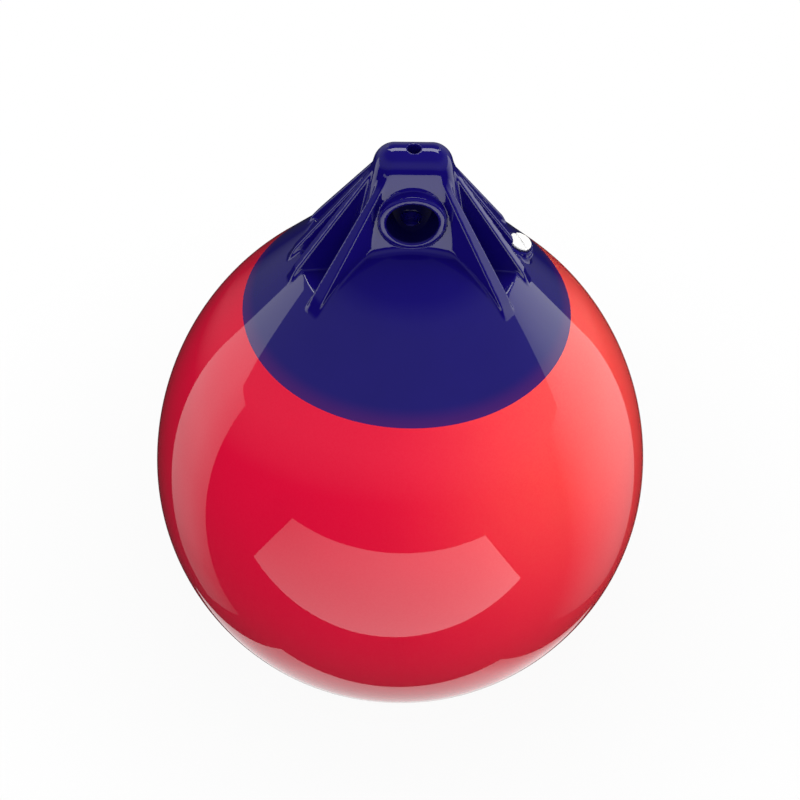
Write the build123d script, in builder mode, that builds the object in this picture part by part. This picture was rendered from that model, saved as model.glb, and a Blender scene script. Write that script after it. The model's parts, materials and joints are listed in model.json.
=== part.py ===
"""Inflatable mooring buoy: a hollow vinyl body, a moulded rope-eye cap and a screw valve.

Millimetres, +Z up along the buoy's axis, eye on top. The origin is on the axis at the waterline.
"""

import os
from math import cos, hypot, radians, sin, sqrt, tan

from build123d import *

os.makedirs("parts", exist_ok=True)

# Whole buoy: 11 in across, 15 in long, afloat on its belly
BODY_RADIUS = 139.7
OVERALL_LENGTH = 381.0
DRAUGHT = 56.7
EQUATOR_Z = BODY_RADIUS - DRAUGHT
CREST_Z = EQUATOR_Z + OVERALL_LENGTH - BODY_RADIUS

# How far a cutter runs past the face that it cuts
OVERRUN = 1.0

# Teardrop outline above the equator: flank arc, straight cone, then a round nose centred on the axis
FLANK_RADIUS = 175.0
CONE_LEAN = 39.0
CONE_LENGTH = 63.0

# Body wall, and the lap where the cap's skirt sits flush on it
BODY_WALL = 2.6
CAP_WALL = 2.6
CAP_EDGE = 17.0
JOGGLE = 8.0
NOSE_FLAT_Z = EQUATOR_Z + 148.0

# Lug: a wedge with a full-round crest and flared ends, crossed by the eye
CREST_RADIUS = 12.0
LUG_LEAN = 9.0
LUG_CREST_HALF_WIDTH = 19.0
LUG_FLARE = 10.0
LUG_END_ROUND = 8.0
LUG_FOOT_Z = EQUATOR_Z + 155.0

EYE_Z = EQUATOR_Z + 204.4
EYE_RADIUS = 13.5
EYE_LIP = 2.0
COLLAR_RADIUS = 18.2
COLLAR_REACH = 19.3

DRAIN_RADIUS = 3.6
DRAIN_PIT_RADIUS = 5.5
DRAIN_PIT_DEPTH = 5.0

# Tapered ribs that fan out from the lug: a pair from its corners, and between them a pair from each end.
# Each runs from start to reach, measured along its bearing from a point at fan_x on the X axis
CORNER_RIB = {
    "fan_x": 1.5,
    "bearing": 35.4,
    "start": 15.0,
    "reach": 63.5,
    "head_z": EQUATOR_Z + 232.7,
    "head_width": 4.2,
    "tail_width": 8.8,
}
END_RIB = {
    "fan_x": 14.0,
    "bearing": 10.0,
    "start": 0.0,
    "reach": 52.5,
    "head_z": EQUATOR_Z + 239.8,
    "head_width": 4.2,
    "tail_width": 6.4,
}
RIB_EDGE = 1.2
RIB_STAND = 2.9
RIB_TAIL_ROUND = 5.0
RIB_ROOT_DEPTH = 1.4

# Pockets sunk between the ribs on each side
POCKET_FLOOR_Z = EQUATOR_Z + 162.0
POCKET_REACH = 66.0

# Valve: a stepped boss on the shoulder, leaning outwards, with a flanged seat and a slotted screw
VALVE_TOP = (60.4, 12.5, POCKET_FLOOR_Z)
VALVE_LEAN = 20.0
BOSS_RADIUS = 9.8
BOSS_NECK_RADIUS = 8.0
BOSS_NECK = 3.2
BOSS_HEIGHT = 24.0
SPOT_FACE_RADIUS = 8.6
SEAT_FLANGE_RADIUS = 6.9
SEAT_FLANGE = 1.0
SEAT_RADIUS = 5.6
SEAT_LENGTH = 10.0
SCREW_HEAD_RADIUS = 6.3
SCREW_HEAD = 1.3
SCREW_HEAD_EDGE = 0.5
SCREW_RADIUS = 4.0
SCREW_LENGTH = 8.5
SCREW_SLOT_WIDTH = 1.6
SCREW_SLOT_DEPTH = 0.8
SCREW_SLOT_BEARING = 120.0
SCREW_GAP = 0.08
AIR_PORT_RADIUS = 1.5

valve_plane = Plane(VALVE_TOP).rotated((0, VALVE_LEAN, 0))

# Key points of the teardrop outline, as (radius, height)
cone_normal = (cos(radians(CONE_LEAN)), sin(radians(CONE_LEAN)))
cone_rise = (-cone_normal[1], cone_normal[0])
flank_centre_r = BODY_RADIUS - FLANK_RADIUS


def on_cone(along, inset):
    """A point on the cone, a distance up from the flank's end and inset from the outside."""
    reach = FLANK_RADIUS - inset
    return (
        flank_centre_r + reach * cone_normal[0] + along * cone_rise[0],
        EQUATOR_Z + reach * cone_normal[1] + along * cone_rise[1],
    )


def on_flank(angle, inset):
    """A point on the flank arc at an angle above the equator."""
    reach = FLANK_RADIUS - inset
    return (flank_centre_r + reach * cos(radians(angle)), EQUATOR_Z + reach * sin(radians(angle)))


def on_belly(angle, inset):
    """A point on the round belly at an angle below the equator."""
    reach = BODY_RADIUS - inset
    return (reach * cos(radians(angle)), EQUATOR_Z - reach * sin(radians(angle)))


nose_start = on_cone(CONE_LENGTH, 0)
nose_radius = nose_start[0] / cone_normal[0]
nose_centre_z = nose_start[1] - nose_radius * cone_normal[1]


def on_nose(radius):
    """A point on the round nose at a distance from the axis."""
    return (radius, nose_centre_z + sqrt(nose_radius**2 - radius**2))


def flat_corner(inset):
    """Where the body's flat top meets its cone, both inset by the same wall."""
    level = NOSE_FLAT_Z - (inset - CAP_WALL)
    start = on_cone(0, inset)
    along = (level - start[1]) / cone_rise[1]
    return on_cone(along, inset)


def body_outline(inset, lap_start, lap_inset):
    """Draws half of a body skin: belly, flank, cone, the step under the cap, and the flat top."""
    bottom = on_belly(90, inset)
    corner = flat_corner(lap_inset)
    top = (0, corner[1])
    ThreePointArc(bottom, on_belly(45, inset), on_belly(0, inset))
    ThreePointArc(on_belly(0, inset), on_flank(CONE_LEAN / 2, inset), on_cone(0, inset))
    Polyline(on_cone(0, inset), on_cone(lap_start, inset), on_cone(CAP_EDGE, lap_inset), corner, top)
    Line(top, bottom)


# Body: one blown vinyl shell that steps in under the cap, with an air port below the valve
with BuildPart() as body_shell:
    with BuildSketch(Plane.XZ):
        with BuildLine():
            body_outline(0, CAP_EDGE, CAP_WALL)
        make_face()
        with BuildLine():
            body_outline(BODY_WALL, CAP_EDGE - JOGGLE, CAP_WALL + BODY_WALL)
        make_face(mode=Mode.SUBTRACT)
    revolve(axis=Axis.Z)
    with Locations(valve_plane):
        Hole(AIR_PORT_RADIUS, depth=BOSS_HEIGHT)

# Lug: the wedge's side view is pulled to both sides, trimmed by its flared front view and rounded
crest_centre_z = CREST_Z - CREST_RADIUS
face_top = (
    CREST_RADIUS * cos(radians(LUG_LEAN)),
    crest_centre_z + CREST_RADIUS * sin(radians(LUG_LEAN)),
)
face_foot = (face_top[0] + (face_top[1] - LUG_FOOT_Z) * tan(radians(LUG_LEAN)), LUG_FOOT_Z)
foot_half_width = LUG_CREST_HALF_WIDTH + (CREST_Z - LUG_FOOT_Z) * tan(radians(LUG_FLARE))

with BuildPart() as lug:
    with BuildSketch(Plane.YZ):
        with BuildLine():
            Line(face_foot, face_top)
            ThreePointArc(face_top, (0, CREST_Z), (-face_top[0], face_top[1]))
            Polyline((-face_top[0], face_top[1]), (-face_foot[0], LUG_FOOT_Z), face_foot)
        make_face()
    extrude(amount=foot_half_width, both=True)
    with BuildSketch(Plane.XZ):
        with BuildLine():
            Polyline(
                (-foot_half_width, LUG_FOOT_Z),
                (-LUG_CREST_HALF_WIDTH, CREST_Z),
                (LUG_CREST_HALF_WIDTH, CREST_Z),
                (foot_half_width, LUG_FOOT_Z),
                close=True,
            )
        make_face()
    extrude(amount=BODY_RADIUS, both=True, mode=Mode.INTERSECT)
    end_edges = lug.faces().group_by(Axis.X)[0].edges() + lug.faces().group_by(Axis.X)[-1].edges()
    fillet(end_edges.filter_by(lambda edge: edge.center().Z > LUG_FOOT_Z + OVERRUN), LUG_END_ROUND)

# Collar: the tube around the eye, standing out of the lug's leaning faces
with BuildPart() as collar:
    with Locations((0, 0, EYE_Z)):
        Cylinder(COLLAR_RADIUS, 2 * COLLAR_REACH, rotation=(90, 0, 0))
    fillet(collar.edges().filter_by(GeomType.CIRCLE), EYE_LIP)


def make_rib(fan_x, bearing, start, reach, head_z, head_width, tail_width):
    """One upright fin in the XZ plane, from inside the lug to a wider, rounded tail on the cone."""
    turn = radians(bearing)
    tail_radius = hypot(fan_x + reach * cos(turn), reach * sin(turn))
    cone_r, cone_z = on_cone(0, 0)
    foot_z = cone_z + (cone_r - tail_radius) / tan(radians(CONE_LEAN))
    tail = (reach, foot_z + RIB_STAND)
    root_z = foot_z - RIB_ROOT_DEPTH
    with BuildPart() as fin:
        with BuildSketch(Plane.XZ):
            with BuildLine():
                Polyline((start, root_z), (start, head_z), tail, (reach, root_z), close=True)
            make_face()
        extrude(amount=tail_width / 2, both=True)
        with BuildSketch(Plane.XY):
            with BuildLine():
                Polyline(
                    (start, -head_width / 2),
                    (reach, -tail_width / 2),
                    (reach, tail_width / 2),
                    (start, head_width / 2),
                    close=True,
                )
            make_face()
        extrude(amount=CREST_Z, mode=Mode.INTERSECT)
        tail_corner = fin.edges().filter_by(Axis.Y).sort_by_distance((tail[0], 0, tail[1]))[0]
        fillet(tail_corner, RIB_TAIL_ROUND)
        crest_edges = fin.edges().filter_by(Axis.Y, reverse=True).filter_by(
            lambda edge: edge.center().X > start + OVERRUN and edge.center().Z > root_z + OVERRUN
        )
        fillet(crest_edges, RIB_EDGE)
    return fin.part


# Boss: a stepped post for the valve, trimmed to end inside the cap's wall
with BuildPart() as boss:
    with Locations(valve_plane):
        Cylinder(BOSS_NECK_RADIUS, BOSS_HEIGHT, align=(Align.CENTER, Align.CENTER, Align.MAX))
    with Locations(valve_plane.offset(-BOSS_NECK)):
        Cylinder(BOSS_RADIUS, BOSS_HEIGHT - BOSS_NECK, align=(Align.CENTER, Align.CENTER, Align.MAX))
    with BuildSketch(Plane.XZ):
        with BuildLine():
            mid_wall = CAP_WALL / 2
            cone_foot = on_cone(0, mid_wall)
            corner = flat_corner(mid_wall)
            Polyline((0, cone_foot[1]), cone_foot, corner, (0, corner[1]), close=True)
        make_face()
    revolve(axis=Axis.Z, mode=Mode.SUBTRACT)

# Eye: a straight bore along Y whose mouths flare into the collar's rounded lips
with BuildPart() as eye_bore:
    with BuildSketch(Plane.XY):
        with BuildLine():
            flare_start = (EYE_RADIUS, COLLAR_REACH - EYE_LIP)
            flare_end = (EYE_RADIUS + EYE_LIP, COLLAR_REACH)
            far_end = (EYE_RADIUS, BODY_RADIUS)
            Polyline((0, 0), (EYE_RADIUS, 0), flare_start)
            RadiusArc(flare_start, flare_end, EYE_LIP)
            Polyline(flare_end, (EYE_RADIUS, COLLAR_REACH), far_end, (0, BODY_RADIUS), (0, 0))
        make_face()
    revolve(axis=Axis.Y)
    mirror(about=Plane.XZ)

# Rope-eye cap: a dome over the body's top, with pockets, ribs, lug, eye, drain and valve boss.
# One rib stops short of the valve, where the screw has its clear spot face
with BuildPart() as rope_eye_cap:
    with BuildSketch(Plane.XZ):
        with BuildLine():
            edge_inner = on_cone(CAP_EDGE, CAP_WALL)
            edge_outer = on_cone(CAP_EDGE, 0)
            apex = on_nose(0)
            Polyline((0, NOSE_FLAT_Z), flat_corner(CAP_WALL), edge_inner, edge_outer, nose_start)
            ThreePointArc(nose_start, on_nose(nose_start[0] / 2), apex)
            Line(apex, (0, NOSE_FLAT_Z))
        make_face()
    revolve(axis=Axis.Z)

    with BuildSketch(Plane.XY.offset(POCKET_FLOOR_Z)):
        half_span = POCKET_REACH * tan(radians(CORNER_RIB["bearing"]))
        with PolarLocations(CORNER_RIB["fan_x"], 2):
            Polygon((0, 0), (POCKET_REACH, -half_span), (POCKET_REACH, half_span), align=None)
    extrude(amount=CREST_Z - POCKET_FLOOR_Z, mode=Mode.SUBTRACT)

    for sizes in (CORNER_RIB, END_RIB):
        rib = make_rib(**sizes)
        with PolarLocations(sizes["fan_x"], 2):
            add(rib, rotation=(0, 0, sizes["bearing"]))
            add(rib, rotation=(0, 0, -sizes["bearing"]))
    with Locations(valve_plane):
        Cylinder(
            SPOT_FACE_RADIUS,
            CREST_Z - POCKET_FLOOR_Z,
            align=(Align.CENTER, Align.CENTER, Align.MIN),
            mode=Mode.SUBTRACT,
        )
    add(boss.part)
    add(lug.part)
    add(collar.part)

    with Locations((0, 0, EYE_Z)):
        add(eye_bore.part, mode=Mode.SUBTRACT)
        Cylinder(
            DRAIN_RADIUS,
            CREST_Z - EYE_Z + OVERRUN,
            align=(Align.CENTER, Align.CENTER, Align.MIN),
            mode=Mode.SUBTRACT,
        )
        Cylinder(
            DRAIN_PIT_RADIUS,
            EYE_RADIUS + DRAIN_PIT_DEPTH,
            align=(Align.CENTER, Align.CENTER, Align.MAX),
            mode=Mode.SUBTRACT,
        )

    with Locations(valve_plane):
        CounterBoreHole(SEAT_RADIUS, SEAT_FLANGE_RADIUS, SEAT_FLANGE, depth=SEAT_LENGTH)
        Hole(AIR_PORT_RADIUS, depth=BOSS_HEIGHT)

# Valve seat: a flanged bush sunk flush into the boss
with BuildPart() as valve_seat:
    with Locations(valve_plane):
        Cylinder(SEAT_RADIUS, SEAT_LENGTH, align=(Align.CENTER, Align.CENTER, Align.MAX))
        Cylinder(SEAT_FLANGE_RADIUS, SEAT_FLANGE, align=(Align.CENTER, Align.CENTER, Align.MAX))
        Hole(SCREW_RADIUS + SCREW_GAP, depth=SCREW_LENGTH + SCREW_GAP)
        Hole(AIR_PORT_RADIUS, depth=SEAT_LENGTH)

# Valve screw: a slotted plug whose head stands on the seat's flange
with BuildPart() as valve_screw:
    with Locations(valve_plane.offset(SCREW_GAP)):
        Cylinder(SCREW_RADIUS, SCREW_LENGTH, align=(Align.CENTER, Align.CENTER, Align.MAX))
        Cylinder(SCREW_HEAD_RADIUS, SCREW_HEAD, align=(Align.CENTER, Align.CENTER, Align.MIN))
    valve_axis = Axis(valve_plane.origin, valve_plane.z_dir)
    rim = valve_screw.edges().filter_by(GeomType.CIRCLE).sort_by(valve_axis)[-1]
    fillet(rim, SCREW_HEAD_EDGE)
    with Locations(valve_plane.offset(SCREW_GAP + SCREW_HEAD)):
        Box(
            2 * SCREW_HEAD_RADIUS + OVERRUN,
            SCREW_SLOT_WIDTH,
            2 * SCREW_SLOT_DEPTH,
            rotation=(0, 0, SCREW_SLOT_BEARING),
            mode=Mode.SUBTRACT,
        )

for name, piece in (
    ("body_shell", body_shell),
    ("rope_eye_cap", rope_eye_cap),
    ("valve_seat", valve_seat),
    ("valve_screw", valve_screw),
):
    piece.part.label = name
    export_step(piece.part, f"parts/{name}.step")
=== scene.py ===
"""Looks of an inflatable mooring buoy: glossy vinyl body, moulded rope-eye cap and nylon valve screw.

Metres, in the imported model's frame: +Z up along the buoy's axis, origin on the axis at the waterline.
"""

import json
from math import cos, degrees, pi, radians, sin, tan

import bmesh
import bpy
import numpy as np
import openvdb
from mathutils import Matrix, Vector


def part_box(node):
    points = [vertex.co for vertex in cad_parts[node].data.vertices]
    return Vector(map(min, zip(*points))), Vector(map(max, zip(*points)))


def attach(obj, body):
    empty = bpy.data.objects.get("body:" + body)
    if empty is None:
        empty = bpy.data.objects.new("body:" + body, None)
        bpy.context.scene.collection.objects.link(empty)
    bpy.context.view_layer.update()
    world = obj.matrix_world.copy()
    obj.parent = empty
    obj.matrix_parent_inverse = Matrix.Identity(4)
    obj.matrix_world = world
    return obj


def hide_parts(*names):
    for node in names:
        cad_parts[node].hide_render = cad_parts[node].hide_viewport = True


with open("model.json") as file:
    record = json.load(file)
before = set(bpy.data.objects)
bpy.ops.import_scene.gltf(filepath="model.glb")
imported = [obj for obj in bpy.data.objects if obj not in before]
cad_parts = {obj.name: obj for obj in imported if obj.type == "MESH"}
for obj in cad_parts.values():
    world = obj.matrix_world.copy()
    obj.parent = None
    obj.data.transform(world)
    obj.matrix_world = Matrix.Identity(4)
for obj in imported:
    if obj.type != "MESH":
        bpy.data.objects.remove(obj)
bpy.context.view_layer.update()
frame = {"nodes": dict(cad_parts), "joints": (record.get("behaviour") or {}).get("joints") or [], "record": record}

MM = 0.001

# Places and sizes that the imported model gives
mounts = {mount["name"]: mount for mount in frame["record"]["mounts"]}
rope_eye = mounts["rope_eye"]
valve_joint = frame["joints"][0]
body_low, body_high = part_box("body_shell")

BODY_RADIUS = body_high.x
EQUATOR_Z = body_low.z + BODY_RADIUS
CREST_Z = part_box("rope_eye_cap")[1].z
EYE_Z = rope_eye["pos_m"][2]
EYE_RADIUS = rope_eye["dims"]["r_mm"] * MM
VALVE_TOP = Vector(valve_joint["pos_m"])
VALVE_AXIS = Vector(valve_joint["axis"]).normalized()

# Teardrop outline above the equator: flank arc, straight cone, then a round nose centred on the axis
FLANK_RADIUS = 175 * MM
CONE_LEAN = radians(39)
CONE_LENGTH = 63 * MM

# Walls, and the lap where the cap's skirt sits flush on the body
BODY_WALL = 2.6 * MM
CAP_WALL = 2.6 * MM
CAP_EDGE = 17 * MM
JOGGLE = 8 * MM
NOSE_FLAT_Z = EQUATOR_Z + 148 * MM

# Lug, eye and drain
CREST_RADIUS = 12 * MM
LUG_LEAN = radians(9)
LUG_CREST_HALF_WIDTH = 19 * MM
LUG_FLARE = radians(10)
LUG_END_ROUND = 9.5 * MM
LUG_FOOT_FILLET = 3 * MM
EYE_LIP = 2 * MM
COLLAR_RADIUS = 18.2 * MM
COLLAR_REACH = 19.5 * MM
COLLAR_FILLET = 0.7 * MM
DRAIN_RADIUS = 3.6 * MM
DRAIN_PIT_RADIUS = 5.5 * MM
DRAIN_PIT_DEPTH = 5 * MM
DRAIN_EDGE = 0.7 * MM

# Tapered ribs that fan out from the lug: one from each corner, and between them a pair from each end.
# Each runs from start to reach, measured along its bearing from a point at fan_x on the X axis
CORNER_RIB = {
    "fan_x": 1.5 * MM,
    "bearing": radians(35.4),
    "start": 15 * MM,
    "reach": 63.5 * MM,
    "head_z": EQUATOR_Z + 232.7 * MM,
    "head_width": 4.2 * MM,
    "tail_width": 8.8 * MM,
}
END_RIB = {
    "fan_x": 14 * MM,
    "bearing": radians(10),
    "start": 0.0,
    "reach": 52.5 * MM,
    "head_z": EQUATOR_Z + 239.8 * MM,
    "head_width": 4.2 * MM,
    "tail_width": 6.4 * MM,
}
RIB_DRAFT = radians(3)
RIB_EDGE = 1.2 * MM
RIB_STAND = 2.9 * MM
RIB_TAIL_ROUND = 5 * MM
RIB_FILLET = 1.6 * MM

# Pockets between the ribs
POCKET_FLOOR_Z = EQUATOR_Z + 162 * MM
POCKET_EDGE = 0.4 * MM

# Valve boss, its sunk seat and the slotted screw
BOSS_RADIUS = 9.8 * MM
BOSS_NECK_RADIUS = 8 * MM
BOSS_NECK = 3.2 * MM
BOSS_EDGE = 1 * MM
BOSS_FILLET = 1.5 * MM
SPOT_FACE_RADIUS = 10.4 * MM
SPOT_FACE_EDGE = 0.8 * MM
SEAT_FLANGE_RADIUS = 6.9 * MM
SEAT_FLANGE = 1 * MM
SCREW_HEAD_RADIUS = 6.3 * MM
SCREW_HEAD = 1.3 * MM
SCREW_HEAD_EDGE = 0.5 * MM
SCREW_GAP = 0.08 * MM
SCREW_RADIUS = 4 * MM
SCREW_LENGTH = 8.5 * MM
SCREW_SLOT_WIDTH = 1.6 * MM
SCREW_SLOT_DEPTH = 0.8 * MM
SCREW_SLOT_EDGE = 0.25 * MM
SCREW_SLOT_BEARING = radians(120)

# Grid spacing for the moulded skins, and how points are drawn onto the exact surface
CAP_FINE = 0.84 * MM
CAP_COARSE = 1.6 * MM
CAP_FINE_HALF_X = 72 * MM
CAP_FINE_HALF_Y = 46 * MM
CAP_FINE_Z = EQUATOR_Z + 153 * MM
SCREW_GRID = 0.2 * MM
SLOPE_STEP = 0.02 * MM
LEAST_SLOPE = 0.25
DRAW_STEPS = 6
RIM_RUN = 4 * MM
WELD = 0.05 * MM

# Fineness of the spun body, how much coarser its air space is, and what counts as a sharp edge
BODY_SEGMENTS = 256
OUTLINE_STEPS = 52
AIR_SPACE_COARSER = 4
SHARP_FROM = radians(30)

# Camera fitted to the photograph
CAMERA_AZIMUTH = radians(-3)
CAMERA_ELEVATION = radians(47.62)
CAMERA_ROLL = radians(2.6)
CAMERA_DISTANCE = 1.8
CAMERA_LENS = 140.4
CAMERA_AIM_RISE = 34.5 * MM

cone_normal = (cos(CONE_LEAN), sin(CONE_LEAN))
cone_rise = (-sin(CONE_LEAN), cos(CONE_LEAN))
middle = Vector((0, 0, EQUATOR_Z))


def on_cone(along, inset):
    """A point (radius, height) on the cone, up from the flank's end and inset from the outside."""
    reach = FLANK_RADIUS - inset
    radius = BODY_RADIUS - FLANK_RADIUS + reach * cone_normal[0] + along * cone_rise[0]
    return radius, EQUATOR_Z + reach * cone_normal[1] + along * cone_rise[1]


def flat_corner(inset):
    """Where the body's flat top meets its cone, both inset by the same wall."""
    level = NOSE_FLAT_Z - (inset - CAP_WALL)
    along = (level - on_cone(0, inset)[1]) / cone_rise[1]
    return on_cone(along, inset)


edge_r, edge_z = on_cone(CAP_EDGE, 0)


# Solids as distance fields: negative inside, in metres


def joined(first, second, fillet):
    """Union of two solids with a round concave fillet."""
    corner = np.hypot(np.maximum(fillet - first, 0), np.maximum(fillet - second, 0))
    return np.maximum(fillet, np.minimum(first, second)) - corner


def overlap(first, second, edge):
    """What two solids share, with a rounded outer edge."""
    corner = np.hypot(np.maximum(edge + first, 0), np.maximum(edge + second, 0))
    return np.minimum(-edge, np.maximum(first, second)) + corner


def cut(solid, hole, edge):
    """A solid less a hole, with a rounded mouth."""
    return overlap(solid, -hole, edge)


def dome_field(radius, z):
    """The cap's plain outside: the straight cone, then the round nose that it runs into."""
    start_r, start_z = on_cone(CONE_LENGTH, 0)
    nose_radius = start_r / cone_normal[0]
    along = (radius - start_r) * cone_rise[0] + (z - start_z) * cone_rise[1]
    cone = (radius - start_r) * cone_normal[0] + (z - start_z) * cone_normal[1]
    nose = np.hypot(radius, z - start_z + nose_radius * cone_normal[1]) - nose_radius
    return np.where(along > 0, nose, cone)


def lug_field(x, y, z):
    """A wedge with a full-round crest and flared, rounded ends."""
    reach = np.abs(y)
    rise = z - (CREST_Z - CREST_RADIUS)
    face = reach * cos(LUG_LEAN) + rise * sin(LUG_LEAN) - CREST_RADIUS
    crest = np.hypot(reach, rise) - CREST_RADIUS
    above_face = rise * cos(LUG_LEAN) - reach * sin(LUG_LEAN)
    side = np.where(above_face > 0, crest, face)
    end = (np.abs(x) - LUG_CREST_HALF_WIDTH) * cos(LUG_FLARE) + (z - CREST_Z) * sin(LUG_FLARE)
    return overlap(side, end, LUG_END_ROUND)


def rib_field(x, y, z, fan_x, bearing, start, reach, head_z, head_width, tail_width):
    """One fin and its three mirrored twins: a sloping crest, a rounded tail and drafted, flaring sides."""
    out = np.abs(x) - fan_x
    along = out * cos(bearing) + np.abs(y) * sin(bearing)
    across = np.abs(np.abs(y) * cos(bearing) - out * sin(bearing))
    foot_r, foot_z = on_cone(0, 0)
    tail_r = np.hypot(fan_x + reach * cos(bearing), reach * sin(bearing))
    tail_z = foot_z + (foot_r - tail_r) / tan(CONE_LEAN) + RIB_STAND
    run = Vector((reach - start, tail_z - head_z)).normalized()
    share = np.clip((along - start) / (reach - start), 0, 1)
    crest = (z - head_z) * run.x - (along - start) * run.y
    width = head_width + (tail_width - head_width) * share
    side = across - width / 2 + np.minimum(crest, 0) * tan(RIB_DRAFT)
    crest = overlap(crest, along - reach, RIB_TAIL_ROUND)
    return overlap(np.maximum(crest, start - along), side, RIB_EDGE)


def boss_field(rise, radius):
    """The stepped post under the valve, by height along its axis and distance from it."""
    neck = overlap(radius - BOSS_NECK_RADIUS, rise, BOSS_EDGE)
    base = overlap(radius - BOSS_RADIUS, rise + BOSS_NECK, BOSS_EDGE)
    return joined(neck, base, BOSS_EDGE / 2)


def cap_outside(points):
    """The rope-eye cap with its skirt carried on downwards."""
    x, y, z = points.T
    radius = np.hypot(x, y)
    from_eye = np.hypot(x, z - EYE_Z)
    from_valve = points - np.array(VALVE_TOP)
    valve_rise = from_valve @ np.array(VALVE_AXIS)
    valve_radius = np.linalg.norm(from_valve - valve_rise[:, None] * np.array(VALVE_AXIS), axis=1)

    out = np.abs(x) - CORNER_RIB["fan_x"]
    between_ribs = np.abs(y) * cos(CORNER_RIB["bearing"]) - out * sin(CORNER_RIB["bearing"])
    pocket = np.maximum(POCKET_FLOOR_Z - z, between_ribs)
    solid = cut(dome_field(radius, z), pocket, POCKET_EDGE)
    solid = joined(solid, lug_field(x, y, z), LUG_FOOT_FILLET)
    for sizes in (CORNER_RIB, END_RIB):
        solid = joined(solid, rib_field(x, y, z, **sizes), RIB_FILLET)
    solid = joined(solid, boss_field(valve_rise, valve_radius), BOSS_FILLET)
    spot_face = np.maximum(valve_radius - SPOT_FACE_RADIUS, -valve_rise)
    solid = cut(solid, spot_face, SPOT_FACE_EDGE)
    collar = overlap(from_eye - COLLAR_RADIUS, np.abs(y) - COLLAR_REACH, EYE_LIP)
    solid = joined(solid, collar, COLLAR_FILLET)
    solid = cut(solid, from_eye - EYE_RADIUS, EYE_LIP)

    drain = np.maximum(radius - DRAIN_RADIUS, EYE_Z - z)
    pit_floor_z = EYE_Z - EYE_RADIUS - DRAIN_PIT_DEPTH
    pit = np.maximum(radius - DRAIN_PIT_RADIUS, np.maximum(z - EYE_Z, pit_floor_z - z))
    solid = cut(solid, drain, DRAIN_EDGE)
    solid = cut(solid, pit, DRAIN_EDGE)
    seat = np.maximum(valve_radius - SEAT_FLANGE_RADIUS, -SEAT_FLANGE - valve_rise)
    return np.maximum(solid, -seat)


def cap_field(points):
    """The rope-eye cap, run on below its colour edge."""
    return np.maximum(cap_outside(points), edge_z - RIM_RUN - points[:, 2])


def screw_field(points):
    """The slotted valve screw in its own frame: Z along its axis, from the top of the boss."""
    x, y, z = points.T
    radius = np.hypot(x, y)
    top_z = SCREW_GAP + SCREW_HEAD
    head = overlap(radius - SCREW_HEAD_RADIUS, np.maximum(z - top_z, SCREW_GAP - z), SCREW_HEAD_EDGE)
    foot_z = SCREW_GAP - SCREW_LENGTH
    shank = overlap(radius - SCREW_RADIUS, np.maximum(z - top_z, foot_z - z), SCREW_HEAD_EDGE)
    across = np.abs(y * cos(SCREW_SLOT_BEARING) - x * sin(SCREW_SLOT_BEARING))
    slot = np.maximum(across - SCREW_SLOT_WIDTH / 2, top_z - SCREW_SLOT_DEPTH - z)
    return cut(joined(head, shank, SCREW_SLOT_EDGE), slot, SCREW_SLOT_EDGE)


# Meshes


def add_object(name, data):
    """Links a new object into the scene."""
    thing = bpy.data.objects.new(name, data)
    bpy.context.scene.collection.objects.link(thing)
    return thing


def new_piece(name, mesh, node, body):
    """Links a piece that stands for a CAD node, hides that node and rides on its body."""
    piece = add_object(name, mesh)
    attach(piece, body)
    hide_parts(node)
    return piece


def mesh_from(bm, name):
    """Turns a finished bmesh into a named mesh."""
    mesh = bpy.data.meshes.new(name)
    bm.to_mesh(mesh)
    bm.free()
    return mesh


def field_slope(field, points):
    """The gradient of a field at each point."""
    slope = np.empty_like(points)
    for axis in range(3):
        shift = np.zeros(3)
        shift[axis] = SLOPE_STEP
        slope[:, axis] = (field(points + shift) - field(points - shift)) / (2 * SLOPE_STEP)
    return slope


def graded(low, fine_low, fine_high, high, fine, coarse):
    """Grid lines along one axis: fine between two places, and coarse outside them."""
    before = np.arange(fine_low, low - coarse, -coarse)[:0:-1]
    inner = np.arange(fine_low, fine_high, fine)
    after = np.arange(inner[-1] + coarse, high + coarse, coarse)
    return np.concatenate((before, inner, after))


def field_skin(name, field, lines):
    """A mesh of four-sided faces for a field's surface, made on grid lines and then drawn onto it."""
    values = np.empty([len(line) for line in lines], np.float32)
    sheet = np.stack(np.meshgrid(lines[1], lines[2], indexing="ij"), -1).reshape(-1, 2)
    for index, x in enumerate(lines[0]):
        slab = np.column_stack((np.full(len(sheet), x), sheet))
        values[index] = field(slab).reshape(values.shape[1:])
    grid = openvdb.FloatGrid(float(values.max()))
    grid.copyFromArray(values)
    spots, faces = grid.convertToQuads(0.0)
    places = [np.interp(spots[:, axis], np.arange(len(line)), line) for axis, line in enumerate(lines)]
    points = np.column_stack(places)
    for _ in range(DRAW_STEPS):
        slope = field_slope(field, points)
        points -= slope * (field(points) / np.maximum((slope**2).sum(1), LEAST_SLOPE))[:, None]
    mesh = bpy.data.meshes.new(name)
    mesh.from_pydata(points.tolist(), [], faces.tolist())
    return mesh


def set_field_normals(mesh, field, chosen):
    """Shades chosen points by the field's own slope, and the others as they lie."""
    points = np.array([vertex.co for vertex in mesh.vertices])
    normals = np.zeros_like(points)
    mask = chosen(points)
    slope = field_slope(field, points[mask])
    normals[mask] = slope / np.linalg.norm(slope, axis=1, keepdims=True)
    mesh.shade_smooth()
    mesh.normals_split_custom_set_from_vertices(normals.tolist())


def vertices_in(geometry):
    """The vertices among some vertices, edges and faces."""
    return [item for item in geometry if isinstance(item, bmesh.types.BMVert)]


def on_ring(vertices, radius, z):
    """Moves vertices to a level ring round the axis, each at its own bearing."""
    for vertex in vertices:
        spoke = Vector((vertex.co.x, vertex.co.y)).normalized() * radius
        vertex.co = (spoke.x, spoke.y, z)


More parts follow.
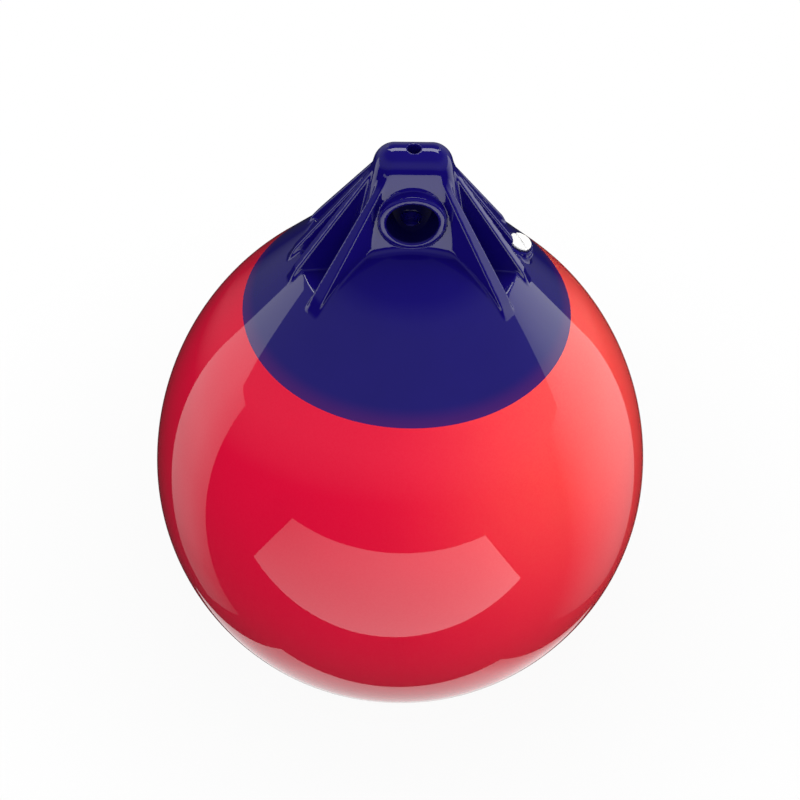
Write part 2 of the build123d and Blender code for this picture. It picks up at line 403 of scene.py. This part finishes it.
def close_underside(bm):
    """Carries the open rim in under the cap: the skirt's end, the lap's cone and the flat top."""
    rim = [edge for edge in bm.edges if edge.is_boundary]
    for radius, z in (on_cone(CAP_EDGE, CAP_WALL), flat_corner(CAP_WALL)):
        made = bmesh.ops.extrude_edge_only(bm, edges=rim)["geom"]
        on_ring(vertices_in(made), radius, z)
        rim = [item for item in made if isinstance(item, bmesh.types.BMEdge) and item.is_boundary]
    made = bmesh.ops.extrude_edge_only(bm, edges=rim)["geom"]
    bmesh.ops.pointmerge(bm, verts=vertices_in(made), merge_co=(0, 0, NOSE_FLAT_Z))


def on_cap_outside(points):
    """Which of the cap's points lie on its outside, and not on the underside that laps the body."""
    lap = (np.hypot(points[:, 0], points[:, 1]) - edge_r) * cone_normal[0]
    lap += (points[:, 2] - edge_z) * cone_normal[1]
    under = (lap < WELD - CAP_WALL) & (points[:, 2] < NOSE_FLAT_Z + WELD)
    return (points[:, 2] > edge_z - WELD) & ~under


def make_cap():
    """The moulded cap with all its fillets, on the exact surface, trimmed level at the colour edge."""
    low_z = edge_z - RIM_RUN
    reach = edge_r + RIM_RUN
    lines = (
        graded(-reach, -CAP_FINE_HALF_X, CAP_FINE_HALF_X, reach, CAP_FINE, CAP_COARSE),
        graded(-reach, -CAP_FINE_HALF_Y, CAP_FINE_HALF_Y, reach, CAP_FINE, CAP_COARSE),
        graded(low_z - CAP_COARSE, CAP_FINE_Z, CREST_Z, CREST_Z + CAP_COARSE, CAP_FINE, CAP_COARSE),
    )
    mesh = field_skin("rope_eye_cap_skin", cap_field, lines)
    bm = bmesh.new()
    bm.from_mesh(mesh)
    whole = [*bm.verts, *bm.edges, *bm.faces]
    trim = bmesh.ops.bisect_plane(
        bm, geom=whole, dist=WELD, plane_co=(0, 0, edge_z), plane_no=(0, 0, 1), clear_inner=True
    )
    on_ring(vertices_in(trim["geom_cut"]), edge_r, edge_z)
    bmesh.ops.remove_doubles(bm, verts=bm.verts, dist=WELD)
    close_underside(bm)
    bmesh.ops.recalc_face_normals(bm, faces=bm.faces)
    bm.to_mesh(mesh)
    bm.free()
    set_field_normals(mesh, cap_outside, on_cap_outside)
    return new_piece("rope_eye_cap_skin", mesh, "rope_eye_cap", "float")


def arc(centre_r, centre_z, radius, start, end, steps):
    """Points (radius, height) along an arc, its angles measured up from level."""
    angles = np.linspace(start, end, steps)
    return [(centre_r + radius * cos(a), centre_z + radius * sin(a)) for a in angles]


def body_outline(inset, lap_start, lap_inset, steps):
    """Half of a body skin from its lowest point to the middle of its flat top."""
    belly = arc(0, EQUATOR_Z, BODY_RADIUS - inset, -pi / 2, 0, 2 * steps)
    flank = arc(BODY_RADIUS - FLANK_RADIUS, EQUATOR_Z, FLANK_RADIUS - inset, 0, CONE_LEAN, steps)
    corner = flat_corner(lap_inset)
    lap = [on_cone(lap_start, inset), on_cone(CAP_EDGE, lap_inset), corner, (0, corner[1])]
    return belly + flank[1:] + lap


def lathe(bm, outline, segments):
    """Spins an outline that starts and ends on the axis."""
    bearings = np.linspace(0, 2 * pi, segments, endpoint=False)
    rings = []
    for radius, z in outline[1:-1]:
        rings.append([bm.verts.new((radius * cos(a), radius * sin(a), z)) for a in bearings])
    for lower, upper in zip(rings, rings[1:]):
        for i in range(segments):
            j = (i + 1) % segments
            bm.faces.new((lower[i], lower[j], upper[j], upper[i]))
    for ring, pole_z, flip in ((rings[0], outline[0][1], True), (rings[-1], outline[-1][1], False)):
        pole = bm.verts.new((0, 0, pole_z))
        for i in range(segments):
            pair = (ring[i], ring[(i + 1) % segments])
            bm.faces.new((pole, *(reversed(pair) if flip else pair)))


def make_body():
    """The hollow body: outer skin with the lap under the cap, and the air space inside."""
    bm = bmesh.new()
    lathe(bm, body_outline(0, CAP_EDGE, CAP_WALL, OUTLINE_STEPS), BODY_SEGMENTS)
    outer_count = len(bm.faces)
    inner_steps = OUTLINE_STEPS // AIR_SPACE_COARSER
    air_space = body_outline(BODY_WALL, CAP_EDGE - JOGGLE, CAP_WALL + BODY_WALL, inner_steps)
    lathe(bm, air_space, BODY_SEGMENTS // AIR_SPACE_COARSER)
    bmesh.ops.reverse_faces(bm, faces=list(bm.faces)[outer_count:])
    mesh = mesh_from(bm, "body_shell_skin")
    mesh.shade_smooth()
    mesh.set_sharp_from_angle(angle=SHARP_FROM)
    return new_piece("body_shell_skin", mesh, "body_shell", "float")


def make_screw():
    """The nylon screw with softened edges, stood on the leaning valve axis."""
    half = SCREW_HEAD_RADIUS + 2 * SCREW_GRID
    side = np.arange(-half, half + SCREW_GRID, SCREW_GRID)
    height = np.arange(-SCREW_LENGTH - SCREW_GRID, SCREW_HEAD + 3 * SCREW_GRID, SCREW_GRID)
    mesh = field_skin("valve_screw_skin", screw_field, (side, side, height))
    set_field_normals(mesh, screw_field, lambda points: np.full(len(points), True))
    side_axis = Vector((0, 1, 0)).cross(VALVE_AXIS)
    turn = Matrix((side_axis, (0, 1, 0), VALVE_AXIS)).transposed().to_4x4()
    mesh.transform(Matrix.Translation(VALVE_TOP) @ turn)
    return new_piece("valve_screw_skin", mesh, "valve_screw", "screw")


body = make_body()
cap = make_cap()
screw = make_screw()
seat = frame["nodes"]["valve_seat"]


# Finishes

RED = (0.80, 0.0015, 0.042, 1.0)
RED_CLOUD = (0.77, 0.0012, 0.039, 1.0)
INDIGO = (0.006, 0.0025, 0.130, 1.0)
INDIGO_CLOUD = (0.005, 0.002, 0.120, 1.0)
RIM_PURPLE = (0.045, 0.004, 0.120, 1.0)
RIM_BLEND = 9 * MM
# Painted shade in the eye's bore: the cap's colour is darkened towards this there, and by the same share its clear
# coat is taken off
BORE_PAINTED_SHADE = (0.001, 0.001, 0.015, 1.0)
BORE_SHADE_AND_DULL = 0.85
SEAT_BLACK = (0.012, 0.010, 0.050, 1.0)
NYLON = (0.92, 0.92, 0.92, 1.0)
NYLON_CLOUD = (0.87, 0.87, 0.86, 1.0)

COAT_IOR = 1.5
UNDER_COAT_IOR = 2.25
GRAIN_HEIGHT = 0.02 * MM

# Values of a noise between which clouds and grain, scratches and specks come in
CLOUD_SPAN = (0.3, 0.7)
SCRATCH_SPAN = (0.66, 0.74)
SPECK_SPAN = (0.68, 0.78)
SCRATCH_STRETCH = (1.0, 1.0, 0.06)


def add_node(tree, kind, inputs, **settings):
    """Adds a node, sets its plain properties, and fills its inputs with values or links."""
    node = tree.nodes.new(kind)
    for name, value in settings.items():
        setattr(node, name, value)
    for name, value in inputs.items():
        if isinstance(value, bpy.types.NodeSocket):
            tree.links.new(value, node.inputs[name])
        else:
            node.inputs[name].default_value = value
    return node


def calc(tree, operation, *values):
    """The result of a math node."""
    return add_node(tree, "ShaderNodeMath", dict(enumerate(values)), operation=operation).outputs[0]


def vector_calc(tree, operation, *values):
    """The outputs of a vector math node."""
    return add_node(tree, "ShaderNodeVectorMath", dict(enumerate(values)), operation=operation).outputs


def place_on(tree, kind):
    """Object gives places in metres; Generated gives shares of a box, or directions in the world."""
    return tree.nodes.new("ShaderNodeTexCoord").outputs[kind]


def noise(tree, place, scale, **inputs):
    """A cloudy value from 0 to 1."""
    return add_node(tree, "ShaderNodeTexNoise", {"Vector": place, "Scale": scale, **inputs}).outputs["Fac"]


def mix_colors(tree, factor, first, second):
    """The blend of two colours."""
    node = tree.nodes.new("ShaderNodeMix")
    node.data_type = "RGBA"
    sockets = {socket.identifier: socket for socket in node.inputs}
    for identifier, value in (("Factor_Float", factor), ("A_Color", first), ("B_Color", second)):
        if isinstance(value, bpy.types.NodeSocket):
            tree.links.new(value, sockets[identifier])
        else:
            sockets[identifier].default_value = value
    return next(socket for socket in node.outputs if socket.identifier == "Result_Color")


def mix_shaders(tree, factor, first, second):
    """The blend of two shaders."""
    return add_node(tree, "ShaderNodeMixShader", {0: factor, 1: first, 2: second}).outputs[0]


def map_range(tree, value, from_min, from_max, to_min, to_max):
    """A value carried smoothly from one range to another."""
    inputs = {
        "Value": value,
        "From Min": from_min,
        "From Max": from_max,
        "To Min": to_min,
        "To Max": to_max,
    }
    return add_node(tree, "ShaderNodeMapRange", inputs, interpolation_type="SMOOTHSTEP").outputs["Result"]


def new_group(name, inputs, outputs):
    """An empty shader node group with named sockets."""
    group = bpy.data.node_groups.new(name, "ShaderNodeTree")
    for label, kind in inputs.items():
        group.interface.new_socket(label, in_out="INPUT", socket_type="NodeSocket" + kind)
    for label, kind in outputs.items():
        group.interface.new_socket(label, in_out="OUTPUT", socket_type="NodeSocket" + kind)
    given = group.nodes.new("NodeGroupInput").outputs
    result = group.nodes.new("NodeGroupOutput").inputs
    return group, given, result


def make_moulded_skin():
    """Moulded plastic's own unevenness: cloudy colour, uneven sheen and a fine pebbled height."""
    group, given, result = new_group(
        "moulded_skin",
        {
            "Color": "Color",
            "Cloud Color": "Color",
            "Cloud Scale": "Float",
            "Grain Scale": "Float",
            "Smooth": "Float",
            "Dull": "Float",
        },
        {"Color": "Color", "Roughness": "Float", "Height": "Float"},
    )
    place = place_on(group, "Object")
    cloud = noise(group, place, given["Cloud Scale"], Detail=4.0, Roughness=0.55)
    grain = noise(group, place, given["Grain Scale"], Detail=2.0)
    share = map_range(group, cloud, *CLOUD_SPAN, 0.0, 1.0)
    sheen = map_range(group, grain, *CLOUD_SPAN, given["Smooth"], given["Dull"])
    group.links.new(mix_colors(group, share, given["Color"], given["Cloud Color"]), result["Color"])
    group.links.new(sheen, result["Roughness"])
    group.links.new(grain, result["Height"])
    return group


def make_handling_scuffs():
    """Hair scratches and rubbed specks from handling, as a mask from 0 to 1."""
    group, given, result = new_group(
        "handling_scuffs",
        {"Scratch Scale": "Float", "Speck Scale": "Float", "Amount": "Float"},
        {"Mask": "Float"},
    )
    place = place_on(group, "Object")
    drawn_out = {"Vector": place, "Scale": SCRATCH_STRETCH}
    stretched = add_node(group, "ShaderNodeMapping", drawn_out).outputs["Vector"]
    scratch = noise(group, stretched, given["Scratch Scale"], Detail=3.0, Distortion=0.6)
    speck = noise(group, place, given["Speck Scale"], Detail=5.0, Roughness=0.7)
    lines = map_range(group, scratch, *SCRATCH_SPAN, 0.0, 1.0)
    specks = map_range(group, speck, *SPECK_SPAN, 0.0, 1.0)
    both = calc(group, "MAXIMUM", lines, specks)
    group.links.new(calc(group, "MULTIPLY", both, given["Amount"]), result["Mask"])
    return group


moulded_skin = make_moulded_skin()
handling_scuffs = make_handling_scuffs()


def placed(tree, group, **inputs):
    """Places a node group in a material, its inputs given with underscores for spaces."""
    node = tree.nodes.new("ShaderNodeGroup")
    node.node_tree = group
    for name, value in inputs.items():
        node.inputs[name.replace("_", " ").title()].default_value = value
    return node.outputs


def moulded_finish(name, **skin_inputs):
    """A material with the sheen and grain of a moulded skin: also its tree, shader and skin colour."""
    material = bpy.data.materials.new(name)
    material.use_nodes = True
    tree = material.node_tree
    shader = tree.nodes["Principled BSDF"]
    skin = placed(tree, moulded_skin, **skin_inputs)
    pebbles = {"Height": skin["Height"], "Strength": 1.0, "Distance": GRAIN_HEIGHT}
    bump = add_node(tree, "ShaderNodeBump", pebbles)
    tree.links.new(bump.outputs["Normal"], shader.inputs["Normal"])
    tree.links.new(skin["Roughness"], shader.inputs["Roughness"])
    return material, tree, shader, skin["Color"]


def set_coat(tree, shader, scuff_mask):
    """A clear mirror skin that scuffs rub away."""
    tree.links.new(calc(tree, "SUBTRACT", 1.0, scuff_mask), shader.inputs["Coat Weight"])
    shader.inputs["Coat Roughness"].default_value = 0.0
    shader.inputs["Coat IOR"].default_value = COAT_IOR


def body_vinyl():
    """Glossy red vinyl: even deep colour, a hazy under-layer and a clear mirror skin."""
    material, tree, shader, color = moulded_finish(
        "body_vinyl", color=RED, cloud_color=RED_CLOUD,
        cloud_scale=14.0, grain_scale=900.0, smooth=0.62, dull=0.70,
    )
    scuffs = placed(tree, handling_scuffs, scratch_scale=260.0, speck_scale=420.0, amount=0.10)
    tree.links.new(color, shader.inputs["Base Color"])
    shader.inputs["IOR"].default_value = UNDER_COAT_IOR
    set_coat(tree, shader, scuffs["Mask"])
    return material


def cap_vinyl():
    """Glossy indigo vinyl that thins out to purple over the red body; in the eye its clear coat is taken off and
    its colour is darkened as painted shade.
    """
    material, tree, shader, color = moulded_finish(
        "cap_vinyl", color=INDIGO, cloud_color=INDIGO_CLOUD,
        cloud_scale=18.0, grain_scale=900.0, smooth=0.38, dull=0.48,
    )
    scuffs = placed(tree, handling_scuffs, scratch_scale=300.0, speck_scale=480.0, amount=0.12)
    place = place_on(tree, "Object")
    height = add_node(tree, "ShaderNodeSeparateXYZ", {"Vector": place}).outputs["Z"]
    rim = map_range(tree, height, edge_z, edge_z + RIM_BLEND, 1.0, 0.0)
    shaded = mix_colors(tree, rim, color, RIM_PURPLE)
    from_eye = vector_calc(tree, "SUBTRACT", place, (0.0, 0.0, EYE_Z))["Vector"]
    across = vector_calc(tree, "MULTIPLY", from_eye, (1.0, 0.0, 1.0))["Vector"]
    reach = vector_calc(tree, "LENGTH", across)["Value"]
    # Painted shade inside the eye's bore: the colour darkens where the bore lies in shade, and the same share
    # takes the clear coat off there
    bore_shade_and_dull = map_range(tree, reach, EYE_RADIUS, EYE_RADIUS + EYE_LIP / 2, BORE_SHADE_AND_DULL, 0.0)
    tree.links.new(mix_colors(tree, bore_shade_and_dull, shaded, BORE_PAINTED_SHADE), shader.inputs["Base Color"])
    shader.inputs["Specular IOR Level"].default_value = 0.0
    set_coat(tree, shader, calc(tree, "MAXIMUM", scuffs["Mask"], bore_shade_and_dull))
    return material


def seat_plastic():
    """Satin near-black bush."""
    material, tree, shader, color = moulded_finish(
        "seat_plastic", color=SEAT_BLACK, cloud_color=INDIGO_CLOUD,
        cloud_scale=120.0, grain_scale=2500.0, smooth=0.35, dull=0.55,
    )
    tree.links.new(color, shader.inputs["Base Color"])
    return material


def screw_plastic():
    """Satin white nylon with a little driver wear."""
    material, tree, shader, color = moulded_finish(
        "screw_plastic", color=NYLON, cloud_color=NYLON_CLOUD,
        cloud_scale=160.0, grain_scale=3000.0, smooth=0.30, dull=0.45,
    )
    scuffs = placed(tree, handling_scuffs, scratch_scale=1500.0, speck_scale=1800.0, amount=0.35)
    tree.links.new(mix_colors(tree, scuffs["Mask"], color, NYLON_CLOUD), shader.inputs["Base Color"])
    return material


finishes = ((body, body_vinyl()), (cap, cap_vinyl()), (screw, screw_plastic()), (seat, seat_plastic()))
for piece, finish in finishes:
    piece.data.materials.clear()
    piece.data.materials.append(finish)


# Stage: a pale floor at the waterline, a white backdrop, soft lamps and softbox cards

FLOOR_RADIUS = 0.34
FLOOR_FADE = 0.1
FLOOR_SEGMENTS = 96
FLOOR_MATT = (0.3, 0.3, 0.3, 1.0)
FLOOR_PLAIN = 0.95
BACKDROP_RADIUS = 40.0
LAMP_DISTANCE = 2.6
HAZE_COLOR = (1.0, 0.95, 0.35, 1.0)
EVEN = ((0.0, 1.0), (1.0, 1.0))
CEILING_TILT = radians(20)
CEILING_STOPS = ((0.44, 0.0), (0.5, 0.15), (0.6, 0.3), (0.72, 0.27), (0.85, 0.08), (1.0, 0.06))
AMBIENT = 0.02
WHITE = (1.0, 1.0, 1.0, 1.0)


def toward(bearing, elevation):
    """Unit direction from the buoy: bearing in degrees to the camera's right, elevation above level."""
    turn = CAMERA_AZIMUTH + radians(bearing)
    rise = radians(elevation)
    return Vector((sin(turn) * cos(rise), -cos(turn) * cos(rise), sin(rise)))


def stage_object(name, mesh, material):
    """Links a thing that is not part of the buoy."""
    thing = add_object(name, mesh)
    mesh.materials.append(material)
    return thing


def bare_material(name):
    """A material with an empty node tree."""
    material = bpy.data.materials.new(name)
    material.use_nodes = True
    material.node_tree.nodes.clear()
    return material, material.node_tree


def floor_finish():
    """Matt floor that fades out at its edge and from below, and is nearly plain white to the camera."""
    material, tree = bare_material("floor_white")
    reach = vector_calc(tree, "LENGTH", place_on(tree, "Object"))["Value"]
    gone = map_range(tree, reach, FLOOR_FADE, FLOOR_RADIUS, 0.0, 1.0)
    below = tree.nodes.new("ShaderNodeNewGeometry").outputs["Backfacing"]
    hidden = calc(tree, "MAXIMUM", gone, below)
    matt = add_node(tree, "ShaderNodeBsdfDiffuse", {"Color": FLOOR_MATT}).outputs[0]
    plain = add_node(tree, "ShaderNodeEmission", {"Strength": 1.0}).outputs[0]
    camera = tree.nodes.new("ShaderNodeLightPath").outputs["Is Camera Ray"]
    shown = mix_shaders(tree, calc(tree, "MULTIPLY", camera, FLOOR_PLAIN), matt, plain)
    clear = tree.nodes.new("ShaderNodeBsdfTransparent").outputs[0]
    add_node(tree, "ShaderNodeOutputMaterial", {"Surface": mix_shaders(tree, hidden, shown, clear)})
    return material


def glow_finish(name, strength):
    """Plain white light of one strength."""
    material, tree = bare_material(name)
    glow = add_node(tree, "ShaderNodeEmission", {"Strength": strength}).outputs[0]
    add_node(tree, "ShaderNodeOutputMaterial", {"Surface": glow})
    material.cycles.emission_sampling = "NONE"
    return material


def make_floor():
    """A round floor at the waterline, seen from above only and not mirrored in the vinyl."""
    bm = bmesh.new()
    bmesh.ops.create_circle(bm, cap_ends=True, segments=FLOOR_SEGMENTS, radius=FLOOR_RADIUS)
    floor = stage_object("floor", mesh_from(bm, "floor"), floor_finish())
    floor.visible_glossy = False


def make_backdrop():
    """A white sphere round everything that only the camera sees."""
    bm = bmesh.new()
    bmesh.ops.create_icosphere(bm, subdivisions=3, radius=BACKDROP_RADIUS)
    finish = glow_finish("backdrop_white", strength=1.0)
    backdrop = stage_object("backdrop", mesh_from(bm, "backdrop"), finish)
    backdrop.visible_diffuse = False
    backdrop.visible_glossy = False
    backdrop.visible_shadow = False


def add_ramp(tree, place, stops):
    """A share that follows stops (place, share) along a value."""
    ramp = tree.nodes.new("ShaderNodeValToRGB")
    tree.links.new(place, ramp.inputs["Fac"])
    elements = ramp.color_ramp.elements
    while len(elements) < len(stops):
        elements.new(0.5)
    for element, (position, share) in zip(elements, stops):
        element.position = position
        element.color = (share, share, share, 1.0)
    return ramp.outputs["Color"]


def split_by_layer(tree, to_mirror, to_haze):
    """Shows one shader to the mirror skin and another to the hazy layer under it."""
    mirrored = tree.nodes.new("ShaderNodeLightPath").outputs["Is Singular Ray"]
    seen = mix_shaders(tree, mirrored, to_haze, to_mirror)
    tree.links.new(seen, tree.nodes["Material Output"].inputs["Surface"])


def card_finish(name, strength, across_stops, upward_stops):
    """Softbox light for the mirror skin alone, its strength by stops (place, share) across and up."""
    material = glow_finish(name, strength)
    tree = material.node_tree
    glow = tree.nodes["Emission"]
    split = add_node(tree, "ShaderNodeSeparateXYZ", {"Vector": place_on(tree, "Generated")}).outputs
    across = add_ramp(tree, split["X"], across_stops)
    upward = add_ramp(tree, split["Y"], upward_stops)
    share = calc(tree, "MULTIPLY", across, upward)
    tree.links.new(calc(tree, "MULTIPLY", share, strength), glow.inputs["Strength"])
    clear = tree.nodes.new("ShaderNodeBsdfTransparent")
    split_by_layer(tree, to_mirror=glow.outputs[0], to_haze=clear.outputs[0])
    return material


def haze_finish(name, strength, color):
    """Softbox light for a hazy layer alone."""
    material = glow_finish(name, strength)
    tree = material.node_tree
    glow = tree.nodes["Emission"]
    glow.inputs["Color"].default_value = color
    clear = tree.nodes.new("ShaderNodeBsdfTransparent")
    split_by_layer(tree, to_mirror=clear.outputs[0], to_haze=glow.outputs[0])
    return material


def make_card(name, centre, across, upward, finish):
    """A flat softbox that only reflections see, spanned by two half sides."""
    bm = bmesh.new()
    bm.faces.new([bm.verts.new((u, v, 0)) for u, v in ((-1, -1), (1, -1), (1, 1), (-1, 1))])
    card = stage_object(name, mesh_from(bm, name), finish)
    facing = across.cross(upward).normalized()
    card.matrix_world = Matrix.Translation(centre) @ Matrix((across, upward, facing)).transposed().to_4x4()
    card.visible_camera = False
    card.visible_diffuse = False
    card.visible_transmission = False
    card.visible_shadow = False


def sloping_card(name, finish, bearing, half_width, near, low, far, high):
    """A panel from its low edge up to its high edge, each given by its reach and its rise."""
    ahead = toward(bearing, 0)
    side = Vector((-ahead.y, ahead.x, 0))
    bottom = middle + ahead * near + Vector((0, 0, low))
    top = middle + ahead * far + Vector((0, 0, high))
    make_card(name, (bottom + top) / 2, side * half_width, (top - bottom) / 2, finish)


def upright_card(name, finish, bearing, half_angle, low, high, distance):
    """A standing softbox between two elevations, turned to the buoy."""
    half_width, bottom, top = (distance * tan(radians(angle)) for angle in (half_angle, low, high))
    sloping_card(name, finish, bearing, half_width, near=distance, low=bottom, far=distance, high=top)


def make_lamp(name, bearing, elevation, size, strength):
    """A soft square lamp that is not mirrored in the buoy; a white face shows about its strength."""
    light = bpy.data.lights.new(name, "AREA")
    light.shape = "SQUARE"
    light.size = size
    light.energy = strength * (pi * LAMP_DISTANCE) ** 2
    light.cycles.use_multiple_importance_sampling = False
    lamp = add_object(name, light)
    direction = toward(bearing, elevation)
    lamp.location = middle + direction * LAMP_DISTANCE
    lamp.rotation_euler = direction.to_track_quat("Z", "Y").to_euler()
    lamp.visible_glossy = False


def make_softboxes():
    """The cards that the photograph's gloss shows, each where its mirror image puts it."""
    outward = ((0.0, 1.0), (0.6, 1.0), (1.0, 0.7))
    falling = ((0.0, 0.1), (0.29, 0.17), (0.51, 0.36), (0.64, 0.47), (0.77, 0.68), (1.0, 0.8))
    strip = card_finish("left_strip", strength=2.0, across_stops=outward, upward_stops=falling)
    upright_card("left_strip", strip, bearing=-104, half_angle=16, low=-58, high=12, distance=1.6)

    growing = ((0.0, 0.05), (0.15, 0.35), (0.3, 0.65), (0.5, 0.9), (0.65, 1.0))
    fading = ((0.0, 0.09), (0.19, 0.18), (0.45, 0.39), (0.6, 0.6), (0.72, 0.8), (0.95, 1.0))
    wall = card_finish("right_wall", strength=1.8, across_stops=growing, upward_stops=fading)
    upright_card("right_wall", wall, bearing=104, half_angle=27.5, low=-55, high=14, distance=1.6)

    rightward = ((0.0, 0.48), (0.5, 0.82), (1.0, 0.94))
    upward = ((0.0, 1.0), (1.0, 0.85))
    panel = card_finish("front_panel", strength=2.8, across_stops=rightward, upward_stops=upward)
    sloping_card(
        "front_panel", panel, bearing=-3.75, half_width=1.497, near=1.0, low=-0.84, far=1.71, high=-0.09
    )

    table_ends = ((0.0, 0.8), (0.1, 0.85), (0.2, 1.0), (0.85, 1.0), (1.0, 0.6))
    table = card_finish("table", strength=1.05, across_stops=table_ends, upward_stops=EVEN)
    sloping_card("table", table, bearing=0, half_width=0.38, near=0.18, low=-0.8, far=-0.38, high=-0.8)

    bar = card_finish("overhead_bar", strength=5.5, across_stops=EVEN, upward_stops=EVEN)
    sloping_card("overhead_bar", bar, bearing=180, half_width=0.9, near=0.95, low=1.22, far=0.57, high=1.41)

    haze = haze_finish("haze_panel", strength=2.2, color=HAZE_COLOR)
    upright_card("haze_panel", haze, bearing=95, half_angle=65, low=-20, high=40, distance=2.6)


def make_world():
    """A dark studio whose pale ceiling, tilted to the back, shows only in the mirror skin."""
    world = bpy.data.worlds.new("studio")
    world.use_nodes = True
    tree = world.node_tree
    background = tree.nodes["Background"].inputs
    ceiling_up = Vector((0, 0, cos(CEILING_TILT))) - toward(0, 0) * sin(CEILING_TILT)
    rise = vector_calc(tree, "DOT_PRODUCT", place_on(tree, "Generated"), ceiling_up)["Value"]
    # From -1 at the foot and 1 overhead to a share from 0 to 1
    share = calc(tree, "MULTIPLY_ADD", rise, 0.5, 0.5)
    mirrored = tree.nodes.new("ShaderNodeLightPath").outputs["Is Singular Ray"]
    ceiling = calc(tree, "MULTIPLY", add_ramp(tree, share, CEILING_STOPS), mirrored)
    tree.links.new(calc(tree, "ADD", ceiling, AMBIENT), background["Strength"])
    background["Color"].default_value = WHITE
    bpy.context.scene.world = world


def make_camera():
    """The photograph's camera: long lens, looking down, rolled a little."""
    lens = bpy.data.cameras.new("camera")
    lens.lens = CAMERA_LENS
    camera = add_object("camera", lens)
    away = toward(0, degrees(CAMERA_ELEVATION))
    side = Vector((cos(CAMERA_AZIMUTH), sin(CAMERA_AZIMUTH), 0))
    rolled_up = away.cross(side) * cos(CAMERA_ROLL) - side * sin(CAMERA_ROLL)
    place = middle + away * CAMERA_DISTANCE
    back = (place - middle - rolled_up * CAMERA_AIM_RISE).normalized()
    right = rolled_up.cross(back).normalized()
    turn = Matrix((right, back.cross(right), back)).transposed().to_4x4()
    camera.matrix_world = Matrix.Translation(place) @ turn
    bpy.context.scene.camera = camera


make_floor()
make_backdrop()
make_softboxes()
make_world()
make_lamp("front_lamp", bearing=0, elevation=45, size=2.0, strength=0.52)
make_lamp("left_lamp", bearing=-52, elevation=14, size=2.0, strength=0.59)
make_lamp("right_lamp", bearing=75, elevation=10, size=2.0, strength=0.9)
make_lamp("back_lamp", bearing=180, elevation=60, size=2.4, strength=0.95)
make_camera()

bpy.context.scene.view_settings.view_transform = "Standard"
